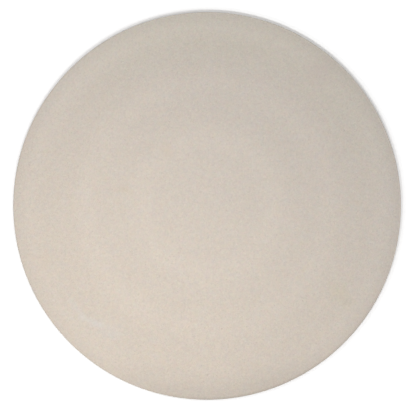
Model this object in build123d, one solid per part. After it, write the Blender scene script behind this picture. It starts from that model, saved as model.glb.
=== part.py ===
from build123d import *
import math
import os

# A round pizza stone: one slab of buff cordierite, pressed and fired in a single piece with its feet.
# Millimetres. The origin is on the vertical axis, in the plane that the feet stand on, and +Z points up
# through the baking face.

# Slab. Its thickness runs from the underside between the feet to the flat of the baking face.
stone_diameter = 380.0
slab_thickness = 12.0

# Rim. The baking face eases down over this width and by this much before it meets the side wall.
rim_ease_width = 16.0
rim_ease_drop = 2.0
upper_edge_radius = 1.2
lower_edge_radius = 2.5

# Side wall. It leans in, above and below, from the parting line of the mould's two halves.
wall_draft_angle = 2.5
parting_line_share = 0.5
# Two rounded edges together take up at most this share of the wall between them.
rounded_wall_share = 0.8

# Feet. They lie in rings, evenly spaced from the innermost to the outermost. The outermost ring's centre
# line is this far in from the wall.
foot_height = 3.0
foot_face_width = 8.0
foot_draft_angle = 20.0
foot_face_edge_radius = 0.8
foot_root_radius = 1.5
foot_ring_count = 3
inner_foot_ring_radius = 64.0
outer_foot_inset = 17.0

# Air gaps part each ring of feet into equal arcs. Their width is measured between the standing faces.
air_gap_count = 4
air_gap_width = 14.0

stone_radius = stone_diameter / 2
underside_height = foot_height
baking_face_height = underside_height + slab_thickness
wall_top_height = baking_face_height - rim_ease_drop
wall_height = wall_top_height - underside_height
parting_line_height = underside_height + parting_line_share * wall_height
air_gap_pitch_angle = 360 / air_gap_count


def wall_inset(height):
    """How far the leaning wall stands in from the full radius at this height."""
    return abs(height - parting_line_height) * math.tan(math.radians(wall_draft_angle))


def held_radius(wanted, other, wall):
    """The radius of an edge that shares a wall with another rounded edge, held back where it is low."""
    return wanted * min(1, rounded_wall_share * wall / (wanted + other))


def level_circles(solid):
    """The whole circles among the edges of a turned solid, from the lowest to the highest."""
    return solid.edges().filter_by(GeomType.CIRCLE).filter_by(lambda edge: edge.is_closed).sort_by(Axis.Z)


def make_slab():
    """The disc with its eased rim and leaning wall, turned about the vertical axis."""
    wall_foot = (stone_radius - wall_inset(underside_height), underside_height)
    parting_line = (stone_radius, parting_line_height)
    wall_top = (stone_radius - wall_inset(wall_top_height), wall_top_height)
    face_edge = (stone_radius - rim_ease_width, baking_face_height)
    underside_centre = (0, underside_height)
    face_centre = (0, baking_face_height)

    outline = Polyline(face_edge, face_centre, underside_centre, wall_foot, parting_line, wall_top)
    outline += TangentArc(face_edge, wall_top, tangent=(1, 0))
    slab = revolve(Plane.XZ * make_face(outline), Axis.Z)

    # The highest circle is where the face starts to ease down, and the next is the top of the wall.
    upper_radius = held_radius(upper_edge_radius, lower_edge_radius, wall_height)
    slab = fillet(level_circles(slab)[-2], upper_radius)
    lower_radius = held_radius(lower_edge_radius, upper_edge_radius, wall_height)
    return fillet(level_circles(slab)[0], lower_radius)


def foot_ring_radii():
    """Centre lines of the rings of feet, from the innermost outwards."""
    outer_foot_ring_radius = stone_radius - outer_foot_inset
    spacing = (outer_foot_ring_radius - inner_foot_ring_radius) / (foot_ring_count - 1)
    return [inner_foot_ring_radius + ring * spacing for ring in range(foot_ring_count)]


def make_foot(ring_radius, middle_angle):
    """One arc-shaped foot with round ends, standing on z = 0 and widening up to the underside."""
    half_gap = (air_gap_width + foot_face_width) / 2
    half_span = air_gap_pitch_angle / 2 - math.degrees(half_gap / ring_radius)
    centre_line = CenterArc((0, 0), ring_radius, middle_angle - half_span, 2 * half_span)
    standing_face = SlotArc(centre_line, foot_face_width)
    foot = extrude(standing_face, foot_height, taper=-foot_draft_angle)
    standing_edges = foot.edges().group_by(Axis.Z)[0]
    return fillet(standing_edges, held_radius(foot_face_edge_radius, foot_root_radius, foot_height))


def foot_roots(stone):
    """The arcs along which the feet meet the underside. All level edges of the slab are whole circles."""
    level_arcs = stone.edges().filter_by(Plane.XY).filter_by(lambda edge: not edge.is_closed)
    return level_arcs.group_by(Axis.Z)[-1]


def make_baking_stone():
    """The slab with its feet, which grow out of it with a small hollow all round."""
    stone = make_slab()
    for ring_radius in foot_ring_radii():
        for foot_number in range(air_gap_count):
            stone += make_foot(ring_radius, (foot_number + 0.5) * air_gap_pitch_angle)
    return fillet(foot_roots(stone), held_radius(foot_root_radius, foot_face_edge_radius, foot_height))


os.makedirs("parts", exist_ok=True)
baking_stone = make_baking_stone()
print("volume", round(baking_stone.volume), "rings of feet at", foot_ring_radii())
export_step(baking_stone, "parts/baking_stone.step")
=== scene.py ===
import math

import bmesh
import bpy
from mathutils import Matrix, Vector, noise


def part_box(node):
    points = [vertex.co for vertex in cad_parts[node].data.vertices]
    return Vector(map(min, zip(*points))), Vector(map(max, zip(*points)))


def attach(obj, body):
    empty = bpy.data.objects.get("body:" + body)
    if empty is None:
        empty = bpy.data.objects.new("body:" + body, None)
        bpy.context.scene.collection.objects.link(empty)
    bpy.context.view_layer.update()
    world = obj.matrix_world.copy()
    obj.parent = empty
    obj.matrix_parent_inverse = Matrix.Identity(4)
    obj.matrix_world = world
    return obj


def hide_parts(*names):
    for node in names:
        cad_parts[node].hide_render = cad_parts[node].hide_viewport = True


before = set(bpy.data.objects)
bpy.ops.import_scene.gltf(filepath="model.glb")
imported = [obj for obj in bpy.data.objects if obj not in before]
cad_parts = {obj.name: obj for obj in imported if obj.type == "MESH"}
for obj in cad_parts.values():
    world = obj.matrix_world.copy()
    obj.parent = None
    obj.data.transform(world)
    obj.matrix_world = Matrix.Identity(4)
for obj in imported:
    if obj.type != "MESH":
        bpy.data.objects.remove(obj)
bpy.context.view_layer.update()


# Pizza stone. One round slab of buff cordierite with low arc-shaped feet, pressed in a two-part mould from a
# single charge of damp clay and grog, trimmed round the parting line and fired. It is one piece, so it is one
# closed skin: slab and feet are turned from their sections and joined by the flat underside.
stone_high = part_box("baking_stone")[1]
stone_radius = stone_high.x
face_height = stone_high.z
underside_height = 0.003
parting_height = 0.008

wall_draft = math.radians(2.5)
trim_ridge = 0.00012
trim_ridge_half_width = 0.0003
ease_radius = 0.065
ease_turn = math.radians(13.3)
upper_edge_radius = 0.0012
lower_edge_radius = 0.0025

slab_segments = 720
face_rings = 20
ease_rings = 16
edge_rings = 6
wall_rings = 5


def draw_to(mesh, start, place, steps=1):
    """Draw a straight stretch of a section from a point to a place, in equal steps, and return its end."""
    stride = (Vector(place) - start.co) / steps
    for _ in range(steps):
        drawn = bmesh.ops.extrude_vert_indiv(mesh, verts=[start])["verts"][0]
        drawn.co = start.co + stride
        start = drawn
    return start


def swing(mesh, start, centre, angle, steps):
    """Draw an arc of a section by swinging a point about a centre in the X-Z plane, and return its end."""
    swung = bmesh.ops.spin(
        mesh, geom=[start], cent=centre, axis=(0, 1, 0), angle=angle, steps=steps, use_duplicate=False
    )
    return next(part for part in swung["geom_last"] if isinstance(part, bmesh.types.BMVert))


wall_radius = stone_radius - trim_ridge
upper_edge_turn = math.pi / 2 - wall_draft - ease_turn
ease_end_height = face_height - ease_radius * (1 - math.cos(ease_turn))
wall_top_height = ease_end_height - upper_edge_radius * (math.cos(ease_turn) - math.sin(wall_draft))
wall_top_radius = wall_radius - (wall_top_height - parting_height) * math.tan(wall_draft)
ease_end_radius = wall_top_radius - upper_edge_radius * (math.cos(wall_draft) - math.sin(ease_turn))
flat_radius = ease_end_radius - ease_radius * math.sin(ease_turn)
upper_edge_centre = Vector((
    ease_end_radius - upper_edge_radius * math.sin(ease_turn),
    0,
    ease_end_height - upper_edge_radius * math.cos(ease_turn),
))
wall_foot_height = underside_height + lower_edge_radius * (1 - math.sin(wall_draft))
wall_foot_radius = wall_radius - (parting_height - wall_foot_height) * math.tan(wall_draft)
lower_edge_centre = Vector((
    wall_foot_radius - lower_edge_radius * math.cos(wall_draft),
    0,
    underside_height + lower_edge_radius,
))

stone = bmesh.new()
point = stone.verts.new((0, 0, face_height))
point = draw_to(stone, point, (flat_radius, 0, face_height), face_rings)
point = swing(stone, point, (flat_radius, 0, face_height - ease_radius), ease_turn, ease_rings)
point = swing(stone, point, upper_edge_centre, upper_edge_turn, edge_rings)
point = draw_to(stone, point, (wall_radius, 0, parting_height + trim_ridge_half_width), wall_rings)
point = draw_to(stone, point, (stone_radius, 0, parting_height))
point = draw_to(stone, point, (wall_radius, 0, parting_height - trim_ridge_half_width))
point = draw_to(stone, point, (wall_foot_radius, 0, wall_foot_height), wall_rings)
swing(stone, point, lower_edge_centre, math.pi / 2 - wall_draft, edge_rings)
bmesh.ops.spin(
    stone,
    geom=stone.verts[:] + stone.edges[:],
    cent=(0, 0, 0),
    axis=(0, 0, 1),
    angle=2 * math.pi,
    steps=slab_segments,
    use_merge=True,
    use_duplicate=False,
)

foot_ring_count = 3
inner_foot_ring_radius = 0.064
outer_foot_inset = 0.017
foot_ring_pitch = (stone_radius - outer_foot_inset - inner_foot_ring_radius) / (foot_ring_count - 1)
foot_count = 4
foot_gap = 0.014
foot_half_width = 0.004
foot_draft = math.radians(20)
foot_toe_radius = 0.0008
foot_root_radius = 0.0015
foot_segment = 0.0025
foot_end_segments = 12
toe_rings = 4
root_rings = 5

flank_turn = math.pi / 2 - foot_draft
toe_run = foot_toe_radius * math.tan(flank_turn / 2)
root_run = foot_root_radius * math.tan(flank_turn / 2)
flank_reach = underside_height * math.tan(foot_draft)


def make_foot(ring_radius, middle_angle):
    """One foot: its section is swept along its ring and turned round each end to close it."""
    foot = bmesh.new()
    toe = ring_radius + foot_half_width - toe_run
    root = ring_radius + foot_half_width + flank_reach
    corner = foot.verts.new((ring_radius, 0, 0))
    corner = draw_to(foot, corner, (toe, 0, 0), 2)
    corner = swing(foot, corner, (toe, 0, foot_toe_radius), -flank_turn, toe_rings)
    flank_end = (
        root - root_run * math.sin(foot_draft),
        0,
        underside_height - root_run * math.cos(foot_draft),
    )
    corner = draw_to(foot, corner, flank_end)
    swing(foot, corner, (root + root_run, 0, underside_height - foot_root_radius), flank_turn, root_rings)
    outer_half = foot.verts[:] + foot.edges[:]
    near_end = bmesh.ops.spin(
        foot,
        geom=outer_half,
        cent=(ring_radius, 0, 0),
        axis=(0, 0, -1),
        angle=math.pi,
        steps=foot_end_segments,
        use_duplicate=False,
    )
    half_span = math.pi / foot_count - (foot_gap / 2 + foot_half_width) / ring_radius
    sweep = bmesh.ops.spin(
        foot,
        geom=outer_half + near_end["geom_last"],
        cent=(0, 0, 0),
        axis=(0, 0, 1),
        angle=2 * half_span,
        steps=round(2 * half_span * ring_radius / foot_segment),
        use_duplicate=False,
    )
    far_half = [
        part
        for part in sweep["geom_last"]
        if isinstance(part, bmesh.types.BMEdge)
        and all(vert.co.xy.length > ring_radius - foot_segment / 100 for vert in part.verts)
    ]
    far_half += list(dict.fromkeys(vert for edge in far_half for vert in edge.verts))
    bmesh.ops.spin(
        foot,
        geom=far_half,
        cent=Matrix.Rotation(2 * half_span, 3, "Z") @ Vector((ring_radius, 0, 0)),
        axis=(0, 0, 1),
        angle=math.pi,
        steps=foot_end_segments,
        use_duplicate=False,
    )
    turned = Matrix.Rotation(middle_angle - half_span, 3, "Z")
    bmesh.ops.rotate(foot, verts=foot.verts, cent=(0, 0, 0), matrix=turned)
    return foot


for ring in range(foot_ring_count):
    for foot_number in range(foot_count):
        ring_radius = inner_foot_ring_radius + ring * foot_ring_pitch
        foot = make_foot(ring_radius, (foot_number + 0.5) * 2 * math.pi / foot_count)
        foot_mesh = bpy.data.meshes.new("foot")
        foot.to_mesh(foot_mesh)
        foot.free()
        stone.from_mesh(foot_mesh)
        bpy.data.meshes.remove(foot_mesh)

weld_distance = 0.00001
bmesh.ops.remove_doubles(stone, verts=stone.verts, dist=weld_distance)
outlines = [edge for edge in stone.edges if edge.is_boundary]
bmesh.ops.triangle_fill(stone, edges=outlines, use_beauty=True, normal=(0, 0, -1))
bmesh.ops.recalc_face_normals(stone, faces=stone.faces)

# The wall wanders a little, as pressed clay does when it dries, and both of its edges have small nicks.
wander = 0.00016
wander_size = 0.045
wander_start = 0.018
nick_depth = 0.0011
nick_size = 0.0042
nick_rarity = 0.42
nick_reach = 0.0016
for vert in stone.verts:
    reach = vert.co.xy.length
    if reach > stone_radius - wander_start:
        outward = Vector((vert.co.x / reach, vert.co.y / reach, 0))
        share = min(1, (reach - stone_radius + wander_start) / wander_start)
        drift = wander * (1 + noise.noise(outward * stone_radius / wander_size)) / 2
        vert.co -= outward * drift * share
        to_upper = math.hypot(reach - wall_top_radius, vert.co.z - wall_top_height)
        to_lower = math.hypot(reach - wall_foot_radius, vert.co.z - wall_foot_height)
        near_edge = max(0, 1 - min(to_upper, to_lower) / nick_reach)
        chipped = max(0, noise.noise(vert.co / nick_size) - nick_rarity)
        vert.co -= outward * nick_depth * near_edge * chipped

sharp_angle = math.radians(35)
for face in stone.faces:
    face.smooth = True
for edge in stone.edges:
    edge.smooth = edge.is_manifold and edge.calc_face_angle() < sharp_angle
for edge in outlines:
    edge.smooth = False

# Turning leaves the edges and faces in an order that changes from run to run, so both are put in order.
stone.verts.index_update()
point_count = len(stone.verts)


def place_in_order(part):
    """One number from the lowest points of an edge or face, the same on every run."""
    place = 0
    for index in sorted(vert.index for vert in part.verts)[:3]:
        place = place * point_count + index
    return place


stone.edges.sort(key=place_in_order)
stone.faces.sort(key=place_in_order)

stone_mesh = bpy.data.meshes.new("pizza_stone")
stone.to_mesh(stone_mesh)
stone.free()
pizza_stone = bpy.data.objects.new("pizza_stone", stone_mesh)
bpy.context.scene.collection.objects.link(pizza_stone)
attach(pizza_stone, "root")
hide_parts("baking_stone")


def add_node(tree, kind, inputs=None, **options):
    """Add a node, set its options, and set or link each of its inputs."""
    made = tree.nodes.new(kind)
    for name, value in options.items():
        setattr(made, name, value)
    for socket, value in (inputs or {}).items():
        if isinstance(value, bpy.types.NodeSocket):
            tree.links.new(value, made.inputs[socket])
        else:
            made.inputs[socket].default_value = value
    return made


def reckon(tree, operation, *values):
    """The result of a sum on one, two or three values."""
    return add_node(tree, "ShaderNodeMath", dict(enumerate(values)), operation=operation).outputs[0]


def reckon_vector(tree, operation, *values, **named):
    """The node of a sum on vectors, or on a vector and a scale."""
    return add_node(tree, "ShaderNodeVectorMath", {**dict(enumerate(values)), **named}, operation=operation)


def rise(tree, value, low, high):
    """Nought below the low value and one above the high one, with a soft rise between."""
    made = add_node(
        tree,
        "ShaderNodeMapRange",
        {"Value": value, "From Min": low, "From Max": high},
        interpolation_type="SMOOTHSTEP",
    )
    return made.outputs["Result"]


def tint(tree, cover, under, over):
    """One colour laid over another, where the cover says so."""
    made = add_node(tree, "ShaderNodeMix", {"Factor": cover, 6: under, 7: over}, data_type="RGBA")
    return made.outputs[2]


def start_group(name, inputs, outputs):
    """A new node group with its named sockets, and its two end nodes."""
    tree = bpy.data.node_groups.new(name, "ShaderNodeTree")
    for socket, (kind, value) in inputs.items():
        made = tree.interface.new_socket(name=socket, in_out="INPUT", socket_type=kind)
        if value is not None:
            made.default_value = value
    for socket in outputs:
        tree.interface.new_socket(name=socket, in_out="OUTPUT", socket_type="NodeSocketFloat")
    return tree, tree.nodes.new("NodeGroupInput").outputs, tree.nodes.new("NodeGroupOutput").inputs


# Specks: crumbs of another stuff, scattered through the clay, of uneven size and outline.
specks, given, result = start_group(
    "specks",
    {
        "Vector": ("NodeSocketVector", None),
        "Spacing": ("NodeSocketFloat", 0.003),
        "Size": ("NodeSocketFloat", 0.3),
        "Share": ("NodeSocketFloat", 0.5),
    },
    ["Mask"],
)
outline_waves = 2.7
outline_depth = 1.1
least_size = 0.3
edge_start = 0.7
per_metre = reckon(specks, "DIVIDE", 1.0, given["Spacing"])
waves_per_metre = reckon(specks, "MULTIPLY", per_metre, outline_waves)
waves = add_node(specks, "ShaderNodeTexNoise", {"Vector": given["Vector"], "Scale": waves_per_metre})
shove = reckon_vector(specks, "SUBTRACT", waves.outputs["Color"], (0.5, 0.5, 0.5)).outputs[0]
shove_depth = reckon(specks, "MULTIPLY", given["Spacing"], outline_depth)
shove = reckon_vector(specks, "SCALE", shove, Scale=shove_depth).outputs[0]
moved = reckon_vector(specks, "ADD", given["Vector"], shove).outputs[0]
cells = add_node(specks, "ShaderNodeTexVoronoi", {"Vector": moved, "Scale": per_metre}).outputs
draws = add_node(specks, "ShaderNodeSeparateColor", {"Color": cells["Color"]}).outputs
drawn_size = reckon(specks, "MULTIPLY_ADD", draws[1], 1 - least_size, least_size)
speck_size = reckon(specks, "MULTIPLY", given["Size"], drawn_size)
solid_size = reckon(specks, "MULTIPLY", speck_size, edge_start)
inside = reckon(specks, "SUBTRACT", 1.0, rise(specks, cells["Distance"], solid_size, speck_size))
chosen = reckon(specks, "LESS_THAN", draws[0], given["Share"])
specks.links.new(reckon(specks, "MULTIPLY", inside, chosen), result["Mask"])

# Rub mark: a streak or smear from one place to another, broken up by the grain of the surface.
rub_mark, given, result = start_group(
    "rub_mark",
    {
        "Vector": ("NodeSocketVector", None),
        "Start": ("NodeSocketVector", (0, 0, 0)),
        "End": ("NodeSocketVector", (0, 0, 0)),
        "Half Width": ("NodeSocketFloat", 0.002),
        "Raggedness": ("NodeSocketFloat", 1.5),
    },
    ["Mask"],
)
breaks_per_metre = 260.0
least_stretch = 0.4
from_start = reckon_vector(rub_mark, "SUBTRACT", given["Vector"], given["Start"]).outputs[0]
run = reckon_vector(rub_mark, "SUBTRACT", given["End"], given["Start"]).outputs[0]
along = reckon_vector(rub_mark, "DOT_PRODUCT", from_start, run).outputs["Value"]
run_squared = reckon_vector(rub_mark, "DOT_PRODUCT", run, run).outputs["Value"]
part_way = add_node(
    rub_mark, "ShaderNodeMath", {0: along, 1: run_squared}, operation="DIVIDE", use_clamp=True
)
nearest = reckon_vector(rub_mark, "SCALE", run, Scale=part_way.outputs[0]).outputs[0]
away = reckon_vector(rub_mark, "DISTANCE", from_start, nearest).outputs["Value"]
breaks = add_node(
    rub_mark,
    "ShaderNodeTexNoise",
    {"Vector": given["Vector"], "Scale": breaks_per_metre, "Detail": 3.0},
)
stretch = reckon(rub_mark, "MULTIPLY_ADD", breaks.outputs[0], given["Raggedness"], least_stretch)
ragged_away = reckon(rub_mark, "MULTIPLY", away, stretch)
inside = reckon(rub_mark, "SUBTRACT", 1.0, rise(rub_mark, ragged_away, 0.0, given["Half Width"]))
rub_mark.links.new(inside, result["Mask"])

# Fired cordierite: matt, buff and sandy, and a little warmer on one side than on the other.
cordierite = bpy.data.materials.new("cordierite")
cordierite.use_nodes = True
tree = cordierite.node_tree
shader = tree.nodes["Principled BSDF"]
place = add_node(tree, "ShaderNodeTexCoord").outputs["Object"]
axes = add_node(tree, "ShaderNodeSeparateXYZ", {0: place}).outputs
level_place = add_node(tree, "ShaderNodeCombineXYZ", {0: axes[0], 1: axes[1]}).outputs[0]
reach = reckon_vector(tree, "LENGTH", level_place).outputs["Value"]


def cloud(size, detail=2.0, roughness=0.5, fineness=(1, 1, 1)):
    """The outputs of soft even noise of about this size: a value of about a half, and a colour."""
    noise_place = reckon_vector(tree, "MULTIPLY", place, fineness).outputs[0]
    settings = {"Vector": noise_place, "Scale": 1 / size, "Detail": detail, "Roughness": roughness}
    return add_node(tree, "ShaderNodeTexNoise", settings).outputs


def scatter(spacing, size, share):
    """The mask of one kind of speck."""
    made = add_node(tree, "ShaderNodeGroup", node_tree=specks)
    tree.links.new(place, made.inputs["Vector"])
    made.inputs["Spacing"].default_value = spacing
    made.inputs["Size"].default_value = size
    made.inputs["Share"].default_value = share
    return made.outputs["Mask"]


def streak(start, end, half_width):
    """The mask of one rub mark or stain on the baking face, from one place to another."""
    made = add_node(tree, "ShaderNodeGroup", node_tree=rub_mark)
    tree.links.new(level_place, made.inputs["Vector"])
    made.inputs["Start"].default_value = (start[0], start[1], 0)
    made.inputs["End"].default_value = (end[0], end[1], 0)
    made.inputs["Half Width"].default_value = half_width
    on_top = rise(tree, axes[2], underside_height, ease_end_height)
    return reckon(tree, "MULTIPLY", made.outputs["Mask"], on_top)


def towards(azimuth):
    """How far a place lies towards this side of the stone, in metres."""
    heading = (math.cos(math.radians(azimuth)), math.sin(math.radians(azimuth)), 0)
    return reckon_vector(tree, "DOT_PRODUCT", level_place, heading).outputs["Value"]


def stretch_of_rim(start, full, azimuth, none_from, all_to):
    """The mask of one side of the rim, by its distances from the middle and its angles from this azimuth."""
    heading = reckon(tree, "DIVIDE", towards(azimuth), reach)
    on_side = rise(tree, heading, math.cos(math.radians(none_from)), math.cos(math.radians(all_to)))
    return reckon(tree, "MULTIPLY", rise(tree, reach, start, full), on_side)


def change(amount, share):
    """A change by this share as the amount goes from nought to one, evenly about nought."""
    return reckon(tree, "MULTIPLY_ADD", amount, share, -share / 2)


def lay_over(under, mask, cover, over):
    """A colour with another laid over it, by this much where the mask is whole."""
    return tint(tree, reckon(tree, "MULTIPLY", mask, cover), under, over)


# The tone of the body, about one. It is a shade paler in rings over the feet, where the slab is thicker, and
# away from the middle, and paler towards the lower left, the side the softboxes light from, which is painted
# light.
ring_strength = 0.026
ring_half_width = 0.019
ring_offset = 0.0013
lit_azimuth = 238
painted_light_tone = 0.030
outer_tone = 0.03
grain_size = 0.0020
grain_contrast = 0.215
mottle_size = 0.006
mottle_contrast = 0.035
patch_size = 0.05
patch_contrast = 0.025
from_inner_ring = reckon(tree, "SUBTRACT", reach, inner_foot_ring_radius + ring_offset)
past_middle = reckon(tree, "MAXIMUM", from_inner_ring, -foot_ring_pitch / 2)
off_ring = reckon(tree, "PINGPONG", past_middle, foot_ring_pitch / 2)
over_feet = reckon(tree, "SUBTRACT", 1.0, rise(tree, off_ring, 0.0, ring_half_width))
toward_lit_side = reckon(tree, "DIVIDE", towards(lit_azimuth), stone_radius)
outwards = reckon(tree, "POWER", reckon(tree, "DIVIDE", reach, stone_radius), 2.0)
grain = cloud(grain_size, 2.0, 0.55)[0]
tone = reckon(tree, "ADD", 1.0, change(grain, grain_contrast))
tone = reckon(tree, "ADD", tone, change(cloud(mottle_size)[0], mottle_contrast))
tone = reckon(tree, "ADD", tone, change(cloud(patch_size, 1.0)[0], patch_contrast))
tone = reckon(tree, "MULTIPLY_ADD", over_feet, ring_strength, tone)
# Painted light: the body is paler towards the lower left, where the softboxes light it from.
tone = reckon(tree, "MULTIPLY_ADD", toward_lit_side, painted_light_tone, tone)
tone = reckon(tree, "ADD", tone, change(outwards, outer_tone))

# Four stretches of the rim differ in tone, all painted: painted shade on the eased rim at the bottom, painted
# light on it at the top, painted shade on its outermost edge at the lower right, and painted light on that
# edge at the upper right. Each row gives where it starts and is full from the middle, its azimuth, the angles
# from that where it ends and is full, and the change of tone.
rim_start = 0.155
rim_full = 0.183
painted_rim_light_and_shade = (
    (rim_start, rim_full, 274, 37, 8, -0.11),
    (rim_start, rim_full, 103, 62, 15, 0.045),
    (0.1865, 0.1885, 298, 48, 22, -0.10),
    (0.1876, 0.1890, 48, 88, 58, 0.095),
)
# Painted light and shade, laid into the tone stretch by stretch.
for start, full, azimuth, none_from, all_to, tone_change in painted_rim_light_and_shade:
    mask = stretch_of_rim(start, full, azimuth, none_from, all_to)
    tone = reckon(tree, "MULTIPLY_ADD", mask, tone_change, tone)

# Its colour. It is warmer towards the lower left, the rim is cooler, and ashen towards the top, and the
# tint differs a little from grain to grain.
cool_buff = (0.625, 0.568, 0.511, 1.0)
warm_buff = (0.658, 0.570, 0.478, 1.0)
ash_buff = (0.618, 0.572, 0.470, 1.0)
lower_left_warmth = 0.40
rim_warmth = -0.12
warm_patch_size = 0.008
warm_patch_contrast = 1.15
ashen_cover = 0.35
tint_size = 0.0035
tint_contrast = 0.14
warmth = reckon(tree, "MULTIPLY_ADD", toward_lit_side, lower_left_warmth, 0.5)
warmth = reckon(tree, "ADD", warmth, change(cloud(warm_patch_size)[0], warm_patch_contrast))
warmth = reckon(tree, "MULTIPLY_ADD", rise(tree, reach, rim_start, rim_full), rim_warmth, warmth)
ashen = stretch_of_rim(0.125, 0.165, 75, 78, 18)
colour = tint(tree, warmth, cool_buff, warm_buff)
colour = lay_over(colour, ashen, ashen_cover, ash_buff)
tint_span = Vector((tint_contrast, tint_contrast, tint_contrast))
tint_low = Vector((1, 1, 1)) - tint_span / 2
grain_tint = reckon_vector(tree, "MULTIPLY_ADD", cloud(tint_size, 3.0, 0.6)["Color"], tint_span, tint_low)
colour = reckon_vector(tree, "MULTIPLY", colour, grain_tint.outputs[0]).outputs[0]
colour = reckon_vector(tree, "SCALE", colour, Scale=tone).outputs[0]

# Crumbs in the clay: pale sand, dark sand, cream grog, open pores and rust-brown iron. Each row gives how far
# apart they lie, their size as a share of that, the share of places that has one, how strongly it covers,
# its colour, and how far it stands out, in millimetres.
grog_cream = (0.80, 0.74, 0.66, 1.0)
dark_grit = (0.40, 0.34, 0.28, 1.0)
pore_shade = (0.30, 0.26, 0.22, 1.0)
iron_brown = (0.23, 0.13, 0.075, 1.0)
crumbs = (
    (0.0007, 0.75, 0.50, 0.25, grog_cream, 0.02),
    (0.0009, 0.60, 0.40, 0.26, dark_grit, -0.025),
    (0.0022, 0.42, 0.35, 0.24, grog_cream, 0.04),
    (0.0031, 0.13, 0.35, 0.35, pore_shade, -0.12),
    (0.0046, 0.10, 0.25, 0.50, iron_brown, 0.0),
)
grain_height = 0.16
bump_height = reckon(tree, "MULTIPLY", grain, grain_height)
for spacing, size, share, cover, crumb_colour, height in crumbs:
    crumb = scatter(spacing, size, share)
    colour = lay_over(colour, crumb, cover, crumb_colour)
    bump_height = reckon(tree, "MULTIPLY_ADD", crumb, height, bump_height)

# Marks on the baking face, all faint: a pale bluish grey streak near the edge, three rust stains, a smear of
# oil with two scratches in it, and a stain of sauce. Each row gives its start, its end, its half width, how
# strongly it covers, and its colour.
pale_blue_grey = (0.70, 0.78, 0.84, 1.0)
rust = (0.61, 0.47, 0.32, 1.0)
oil = (0.57, 0.52, 0.31, 1.0)
scratch_shade = (0.36, 0.33, 0.28, 1.0)
sauce = (0.55, 0.40, 0.40, 1.0)
marks = (
    ((-0.132, -0.093), (-0.125, -0.103), 0.006, 0.09, pale_blue_grey),
    ((-0.123, -0.1085), (-0.105, -0.116), 0.006, 0.15, pale_blue_grey),
    ((-0.103, -0.118), (-0.090, -0.1255), 0.015, 0.09, pale_blue_grey),
    ((-0.041, 0.057), (-0.038, 0.051), 0.0105, 0.18, rust),
    ((-0.084, 0.0165), (-0.080, 0.0175), 0.008, 0.20, rust),
    ((-0.161, -0.049), (-0.160, -0.060), 0.012, 0.11, rust),
    ((0.129, -0.083), (0.134, -0.092), 0.019, 0.15, oil),
    ((0.1350, -0.0955), (0.1375, -0.0905), 0.0024, 0.12, scratch_shade),
    ((0.1390, -0.0960), (0.1415, -0.0910), 0.0024, 0.12, scratch_shade),
    ((0.108, 0.132), (0.114, 0.131), 0.021, 0.16, sauce),
)
for start, end, half_width, cover, mark_colour in marks:
    colour = lay_over(colour, streak(start, end, half_width), cover, mark_colour)

# The mould leaves the underside paler, with larger pores, and oven racks rub its standing faces grey.
underside_pale = (0.71, 0.66, 0.585, 1.0)
underside_cover = 0.35
underside_margin = 0.0001
open_pore_cover = 0.5
open_pore_height = -0.15
rack_grey = (0.30, 0.29, 0.28, 1.0)
rack_cover = 0.35
standing_margin = 0.00005
rubbed_patch_size = 0.012
above_underside = rise(tree, axes[2], underside_height + underside_margin, wall_foot_height)
underneath = reckon(tree, "SUBTRACT", 1.0, above_underside)
colour = lay_over(colour, underneath, underside_cover, underside_pale)
open_pores = reckon(tree, "MULTIPLY", scatter(0.0042, 0.15, 0.4), underneath)
colour = lay_over(colour, open_pores, open_pore_cover, pore_shade)
bump_height = reckon(tree, "MULTIPLY_ADD", open_pores, open_pore_height, bump_height)
standing = reckon(tree, "SUBTRACT", 1.0, rise(tree, axes[2], standing_margin, foot_toe_radius))
rubbed_patches = rise(tree, cloud(rubbed_patch_size, 4.0, 0.6)[0], 0.42, 0.62)
rubbed = reckon(tree, "MULTIPLY", standing, rubbed_patches)
colour = lay_over(colour, rubbed, rack_cover, rack_grey)

# The wall keeps the fine level lines of the trimming knife and is a shade darker between them.
knife_line_length = 0.02
knife_line_fineness = (1, 1, 18)
knife_line_tone = 0.14
knife_line_height = 0.2
wall_tone = -0.08
under_rim = reckon(tree, "SUBTRACT", 1.0, rise(tree, axes[2], wall_top_height, ease_end_height))
on_wall = reckon(tree, "MULTIPLY", rise(tree, reach, ease_end_radius, wall_top_radius), under_rim)
knife_lines = cloud(knife_line_length, 3.0, 0.55, knife_line_fineness)[0]
line_tone = reckon(tree, "MULTIPLY_ADD", knife_lines, knife_line_tone, wall_tone)
line_height = reckon(tree, "MULTIPLY", knife_lines, knife_line_height)
colour_scale = reckon(tree, "MULTIPLY_ADD", on_wall, line_tone, 1.0)
colour = reckon_vector(tree, "SCALE", colour, Scale=colour_scale).outputs[0]
bump_height = reckon(tree, "MULTIPLY_ADD", on_wall, line_height, bump_height)
tree.links.new(colour, shader.inputs["Base Color"])

# It is matt all over, and a little smoother where racks have rubbed it.
rough_low = 0.76
rough_high = 0.9
rough_patch_size = 0.003
rubbed_smoothing = -0.18
patches = {"Value": cloud(rough_patch_size, 3.0)[0], "To Min": rough_low, "To Max": rough_high}
roughness = add_node(tree, "ShaderNodeMapRange", patches).outputs["Result"]
roughness = reckon(tree, "MULTIPLY_ADD", rubbed, rubbed_smoothing, roughness)
tree.links.new(roughness, shader.inputs["Roughness"])

millimetre = 0.001
bump = add_node(tree, "ShaderNodeBump", {"Height": bump_height, "Distance": millimetre, "Strength": 1.0})
tree.links.new(bump.outputs[0], shader.inputs["Normal"])
stone_mesh.materials.append(cordierite)


# Floor. White studio paper, far larger than the stone. It shows as plain white to the camera and keeps the
# stone's shadow.
floor_half_width = 6.0
floor_bm = bmesh.new()
bmesh.ops.create_grid(floor_bm, x_segments=1, y_segments=1, size=floor_half_width)
floor_mesh = bpy.data.meshes.new("floor")
floor_bm.to_mesh(floor_mesh)
floor_bm.free()
floor = bpy.data.objects.new("floor", floor_mesh)
bpy.context.scene.collection.objects.link(floor)


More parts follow.
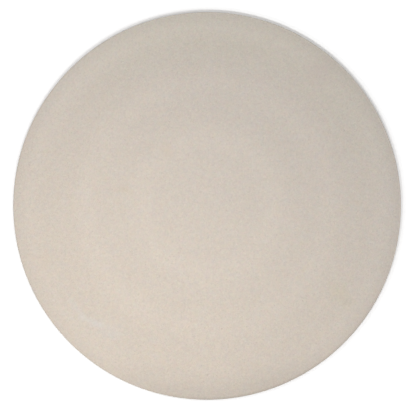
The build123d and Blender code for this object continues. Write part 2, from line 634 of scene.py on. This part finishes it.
def seen_directly(tree):
    """One where a ray comes from the camera, or from a reflection or a pane, and nought elsewhere."""
    path = add_node(tree, "ShaderNodeLightPath")
    kinds = [path.outputs[name] for name in ("Is Camera Ray", "Is Glossy Ray", "Is Transmission Ray")]
    return reckon(tree, "MAXIMUM", reckon(tree, "MAXIMUM", kinds[0], kinds[1]), kinds[2])


# Away from the softboxes the paper is brighter to the camera, so that it stays white to the horizon.
paper_white = (0.8, 0.8, 0.8, 1.0)
paper_seen = (1.585, 1.6, 1.62, 1.0)
far_paper_seen = (2.5, 2.5, 2.5, 1.0)
near_paper_reach = 0.5
far_paper_reach = 3.0
paper = bpy.data.materials.new("studio_paper")
paper.use_nodes = True
tree = paper.node_tree
tree.nodes.clear()
floor_place = add_node(tree, "ShaderNodeTexCoord").outputs["Object"]
from_middle = reckon_vector(tree, "LENGTH", floor_place).outputs["Value"]
far_away = rise(tree, from_middle, near_paper_reach, far_paper_reach)
seen = tint(tree, far_away, paper_seen, far_paper_seen)
paper_colour = tint(tree, seen_directly(tree), paper_white, seen)
diffuse = add_node(tree, "ShaderNodeBsdfDiffuse", {"Color": paper_colour})
add_node(tree, "ShaderNodeOutputMaterial", {"Surface": diffuse.outputs[0]})
floor_mesh.materials.append(paper)


# Light. A softbox hangs close above the stone, a little to the lower left of the picture. Two more, far
# above, throw the narrow shadow, and the white studio round them fills in evenly.
dome_strength = 0.454
world = bpy.data.worlds.new("studio")
bpy.context.scene.world = world
world.use_nodes = True
tree = world.node_tree
strength = reckon(tree, "MULTIPLY_ADD", seen_directly(tree), 1 - dome_strength, dome_strength)
tree.links.new(strength, tree.nodes["Background"].inputs["Strength"])
tree.nodes["Background"].inputs["Color"].default_value = (1.0, 1.0, 1.0, 1.0)


def hang_softbox(name, size, watts, place):
    """A round softbox that faces straight down. It isn't seen itself."""
    softbox_data = bpy.data.lights.new(name, "AREA")
    softbox_data.shape = "DISK"
    softbox_data.size = size
    softbox_data.energy = watts
    softbox = bpy.data.objects.new(name, softbox_data)
    softbox.location = place
    softbox.visible_camera = False
    bpy.context.scene.collection.objects.link(softbox)


hang_softbox("near_softbox", 0.16, 0.463, (-0.056, -0.056, 0.36))
hang_softbox("left_softbox", 0.18, 9.64, (-0.530, -0.530, 3.0))
hang_softbox("low_softbox", 0.18, 11.99, (0.0, -0.75, 3.0))


# Camera. Straight above the stone on a long lens, with the stone's outline as large in the picture, and as
# far from its middle, as in the photograph.
picture_px = 416
outline_radius_px = 193.9
stone_centre_px = Vector((207.1, 205.95))
camera_height = 2.5
sensor_width = 36.0
metres_per_px = stone_radius / outline_radius_px

camera_data = bpy.data.cameras.new("camera")
camera_data.sensor_width = sensor_width
camera_data.lens = sensor_width * (camera_height - parting_height) / (picture_px * metres_per_px)
camera = bpy.data.objects.new("camera", camera_data)
off_centre_px = Vector((picture_px / 2, picture_px / 2)) - stone_centre_px
camera.location = (off_centre_px.x * metres_per_px, -off_centre_px.y * metres_per_px, camera_height)
bpy.context.scene.collection.objects.link(camera)
bpy.context.scene.camera = camera
bpy.context.scene.view_settings.view_transform = "Standard"
